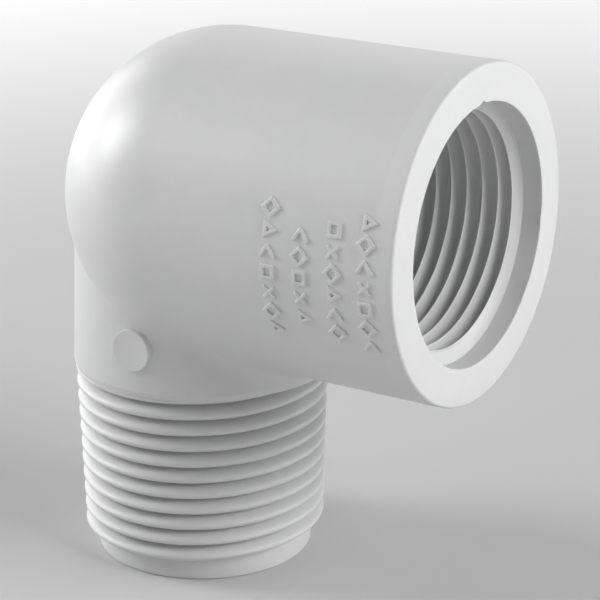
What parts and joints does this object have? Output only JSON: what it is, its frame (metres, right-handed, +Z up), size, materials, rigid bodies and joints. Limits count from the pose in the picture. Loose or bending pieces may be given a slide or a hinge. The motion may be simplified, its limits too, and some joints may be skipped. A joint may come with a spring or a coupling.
{
  "type": "threaded pipe elbow",
  "caption": "White PVC 90 degree street elbow with a male taper-threaded end, a rounded corner and a larger female taper-threaded hub.",
  "frame": {"origin": "centre of the male end's flat face, on the male end's axis", "axes": "+Z up the male end's axis towards the corner, +X along the female hub's axis, out of its mouth"},
  "size_m": [0.0583, 0.0428, 0.0708],
  "materials": {
    "pvc": "as-moulded rigid white PVC, satin"
  },
  "bodies": {
    "root": {"male_core": "pvc", "male_thread": "pvc", "corner_body": "pvc", "hub_barrel": "pvc", "hub_face_ring": "pvc", "female_sleeve": "pvc", "female_thread": "pvc", "gate_pad": "pvc", "raised_marks": "pvc"}
  },
  "joints": []
}
